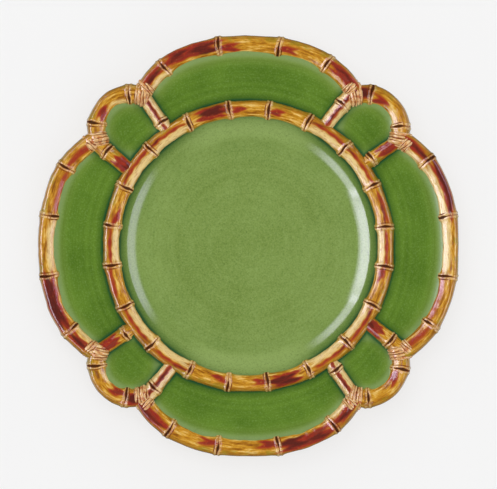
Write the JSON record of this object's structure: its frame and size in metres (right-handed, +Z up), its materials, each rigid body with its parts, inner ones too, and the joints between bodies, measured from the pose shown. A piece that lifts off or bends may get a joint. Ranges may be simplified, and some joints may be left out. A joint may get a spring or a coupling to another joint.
{
  "type": "dinner plate",
  "caption": "Scallop-edged dinner plate with a green glazed well, foot ring, and raised amber bamboo canes lashed together round the well and rim.",
  "frame": {"origin": "centre of the foot's standing plane, on the plate's axis", "axes": "+Z up out of the well along the plate's axis; +X and +Y through the middles of two neighbouring wide lobes of the rim"},
  "size_m": [0.28, 0.28, 0.0308],
  "materials": {
    "green_glaze": "gloss",
    "cane_glaze": "gloss",
    "lashing_glaze": "gloss",
    "cream_glaze": "gloss",
    "bare_foot": "matte"
  },
  "bodies": {
    "root": {"corner_cane_1": "cane_glaze", "corner_cane_2": "cane_glaze", "corner_cane_3": "cane_glaze", "corner_cane_4": "cane_glaze", "corner_glaze_1": "green_glaze", "corner_glaze_2": "green_glaze", "corner_glaze_3": "green_glaze", "corner_glaze_4": "green_glaze", "foot_ring": "bare_foot", "lashing_1": "lashing_glaze", "lashing_2": "lashing_glaze", "lashing_3": "lashing_glaze", "lashing_4": "lashing_glaze", "lashing_5": "lashing_glaze", "lashing_6": "lashing_glaze", "lashing_7": "lashing_glaze", "lashing_8": "lashing_glaze", "plate_body": "cream_glaze", "rim_cane_1": "cane_glaze", "rim_cane_2": "cane_glaze", "rim_cane_3": "cane_glaze", "rim_cane_4": "cane_glaze", "rim_glaze_1": "green_glaze", "rim_glaze_2": "green_glaze", "rim_glaze_3": "green_glaze", "rim_glaze_4": "green_glaze", "ring_cane_1": "cane_glaze", "ring_cane_2": "cane_glaze", "ring_cane_3": "cane_glaze", "ring_cane_4": "cane_glaze", "strut_1": "cane_glaze", "strut_2": "cane_glaze", "strut_3": "cane_glaze", "strut_4": "cane_glaze", "strut_5": "cane_glaze", "strut_6": "cane_glaze", "strut_7": "cane_glaze", "strut_8": "cane_glaze", "well_glaze": "green_glaze"}
  },
  "joints": []
}
